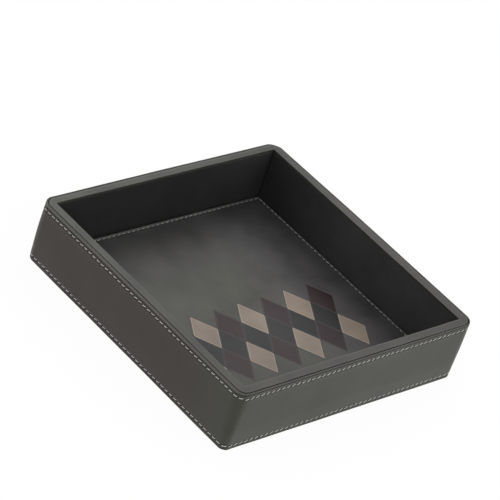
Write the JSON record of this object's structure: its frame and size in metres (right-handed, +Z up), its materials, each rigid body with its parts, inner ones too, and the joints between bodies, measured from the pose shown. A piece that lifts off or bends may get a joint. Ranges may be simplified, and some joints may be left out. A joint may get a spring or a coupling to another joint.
{
  "type": "valet tray",
  "caption": "Low square leather-covered tray with upright walls, a flat rim, stitched edges and a band of inlaid leather lozenges on its floor.",
  "frame": {"origin": "middle of the underside, on the surface that the tray stands on", "axes": "+Z up, +X to the right along the front wall, +Y from the front wall to the rear wall"},
  "size_m": [0.2104, 0.2104, 0.045],
  "materials": {
    "charcoal_leather": "smooth semi-matt dark grey calf leather with fine grain",
    "taupe_leather": "smooth matt taupe leather",
    "graphite_leather": "smooth matt graphite leather",
    "burgundy_leather": "smooth matt dark burgundy leather",
    "linen_thread": "waxed light grey sewing thread",
    "fibre_board": "raw fibre board, covered all over",
    "felt": "dense dark grey felt"
  },
  "bodies": {
    "root": {"base_board": "fibre_board", "floor_leather": "charcoal_leather", "floor_stitching": "linen_thread", "front_lining": "charcoal_leather", "front_wall_board": "fibre_board", "inlay_burgundy_1": "burgundy_leather", "inlay_burgundy_2": "burgundy_leather", "inlay_burgundy_3": "burgundy_leather", "inlay_burgundy_4": "burgundy_leather", "inlay_burgundy_5": "burgundy_leather", "inlay_burgundy_6": "burgundy_leather", "inlay_burgundy_7": "burgundy_leather", "inlay_graphite_1": "graphite_leather", "inlay_graphite_2": "graphite_leather", "inlay_graphite_3": "graphite_leather", "inlay_graphite_4": "graphite_leather", "inlay_graphite_5": "graphite_leather", "inlay_graphite_6": "graphite_leather", "inlay_taupe_1": "taupe_leather", "inlay_taupe_2": "taupe_leather", "inlay_taupe_3": "taupe_leather", "inlay_taupe_4": "taupe_leather", "inlay_taupe_5": "taupe_leather", "inlay_taupe_6": "taupe_leather", "inlay_taupe_7": "taupe_leather", "left_lining": "charcoal_leather", "left_wall_board": "fibre_board", "lower_stitching": "linen_thread", "outer_band": "charcoal_leather", "rear_lining": "charcoal_leather", "rear_wall_board": "fibre_board", "right_lining": "charcoal_leather", "right_wall_board": "fibre_board", "rim_leather": "charcoal_leather", "underside_panel": "felt", "upper_stitching": "linen_thread"}
  },
  "joints": []
}
